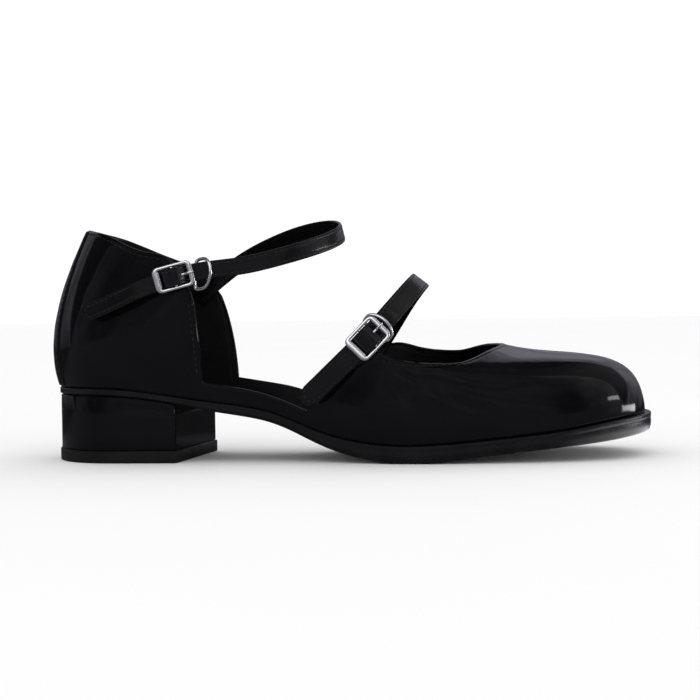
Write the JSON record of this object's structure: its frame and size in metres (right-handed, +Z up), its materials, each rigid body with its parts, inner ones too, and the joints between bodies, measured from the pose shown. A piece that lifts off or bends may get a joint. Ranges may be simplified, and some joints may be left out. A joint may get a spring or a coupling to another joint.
{
  "type": "mary jane shoe",
  "caption": "Women's right mary jane shoe in black patent, cut away at the sides, with an ankle strap and an instep strap on small metal buckles and a low block heel.",
  "frame": {"origin": "middle of the heel's resting face, on the floor", "axes": "+X from heel to toe, +Y towards the medial (inner) side of the right foot, +Z up"},
  "size_m": [0.254, 0.0854, 0.1009],
  "materials": {
    "patent": "black patent, high gloss, soft wrinkles at the sides of the vamp",
    "strap_patent": "black patent straps, glossy, stitched along both edges",
    "sock": "matt black sock leather",
    "sole_rubber": "satin black moulded outsole, smooth painted edge",
    "top_piece_rubber": "dull black heel top piece",
    "nickel": "polished silver-coloured buckle metal"
  },
  "bodies": {
    "root": {"outsole": "sole_rubber", "heel_block": "patent", "heel_top_piece": "top_piece_rubber", "insole": "sock", "upper": "patent", "ankle_strap": "strap_patent", "ankle_chape": "strap_patent", "ankle_buckle_frame": "nickel", "ankle_buckle_prong": "nickel", "ankle_keeper_ring": "nickel", "instep_strap": "strap_patent", "instep_chape": "strap_patent", "instep_buckle_frame": "nickel", "instep_buckle_prong": "nickel", "instep_keeper_ring": "nickel"}
  },
  "joints": []
}
